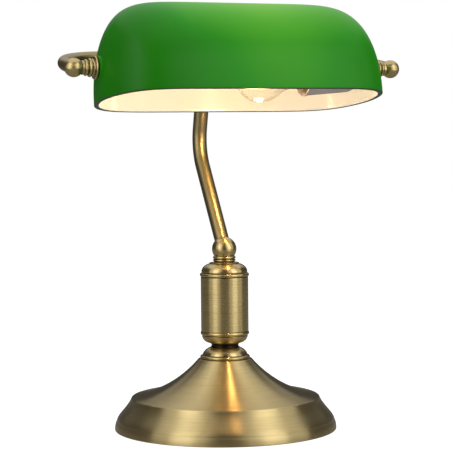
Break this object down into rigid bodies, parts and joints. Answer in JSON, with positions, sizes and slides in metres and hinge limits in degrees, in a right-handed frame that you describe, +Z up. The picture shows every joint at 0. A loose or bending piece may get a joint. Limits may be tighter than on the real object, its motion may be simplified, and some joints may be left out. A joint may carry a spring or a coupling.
{
  "type": "banker desk lamp",
  "caption": "Desk lamp with a round weighted brass base, a turned column, a bent arm and a rear yoke that carries a tilting green glass trough shade over a round bulb.",
  "frame": {"origin": "centre of the base's underside, on the surface that the lamp stands on", "axes": "+Z up along the column; +X along the shade's length, from the bulb's globe towards its lampholder; -Y is the front, where the shade's opening faces"},
  "size_m": [0.3096, 0.2013, 0.3727],
  "materials": {
    "antique_brass": "brushed, darkened antique brass with clear lacquer",
    "cast_iron": "sand cast, black wash",
    "felt": "dark green wool felt",
    "zinc_steel": "zinc plated steel",
    "black_rubber": "moulded rubber",
    "green_cased_glass": "emerald green glass cased over opal white glass, polished",
    "grey_holder": "satin grey heat-resistant plastic",
    "white_ceramic": "glazed",
    "nickel": "nickel plated",
    "spring_brass": "bare spring brass",
    "black_glass": "fused black glass",
    "clear_glass": "clear",
    "lit_filament": "tungsten wire, glowing",
    "fibre": "pressed fibre"
  },
  "bodies": {
    "stand": {"base_shell": "antique_brass", "neck_collar": "antique_brass", "neck_spool": "antique_brass", "column_cup": "antique_brass", "column_barrel": "antique_brass", "column_cap": "antique_brass", "seat_washer": "antique_brass", "seat_beads": "antique_brass", "knuckle_ball": "antique_brass", "arm_tube": "antique_brass", "yoke_tube": "antique_brass", "yoke_collar": "antique_brass", "left_flange": "antique_brass", "left_ring_spacer": "antique_brass", "left_end_ball": "antique_brass", "right_flange": "antique_brass", "right_ring_spacer": "antique_brass", "right_end_ball": "antique_brass", "base_weight": "cast_iron", "base_felt": "felt", "base_washer": "zinc_steel", "base_lock_nut": "zinc_steel", "central_rod": "zinc_steel", "cord_gland": "black_rubber", "holder_cap": "grey_holder", "holder_shell": "grey_holder", "holder_insert": "white_ceramic", "holder_thread": "nickel", "holder_contact": "spring_brass", "bulb_cap": "nickel", "bulb_insulator": "black_glass", "bulb_contact": "nickel", "bulb_glass": "clear_glass", "bulb_stem": "clear_glass", "bulb_filament": "lit_filament", "bulb_lead_left": "nickel", "bulb_lead_right": "nickel", "left_nipple": "zinc_steel", "left_lock_nut": "zinc_steel", "left_inner_washer": "fibre", "left_outer_washer": "fibre", "right_nipple": "zinc_steel", "right_lock_nut": "zinc_steel", "right_inner_washer": "fibre", "right_outer_washer": "fibre"},
    "shade": {"shade_glass": "green_cased_glass"}
  },
  "joints": [
    {"name": "shade_tilt", "type": "hinge", "parent": "stand", "child": "shade", "pos_m": [0, -0.0348, 0.3167], "axis": [-1, 0, 0], "range_deg": [-50, 50]}
  ]
}
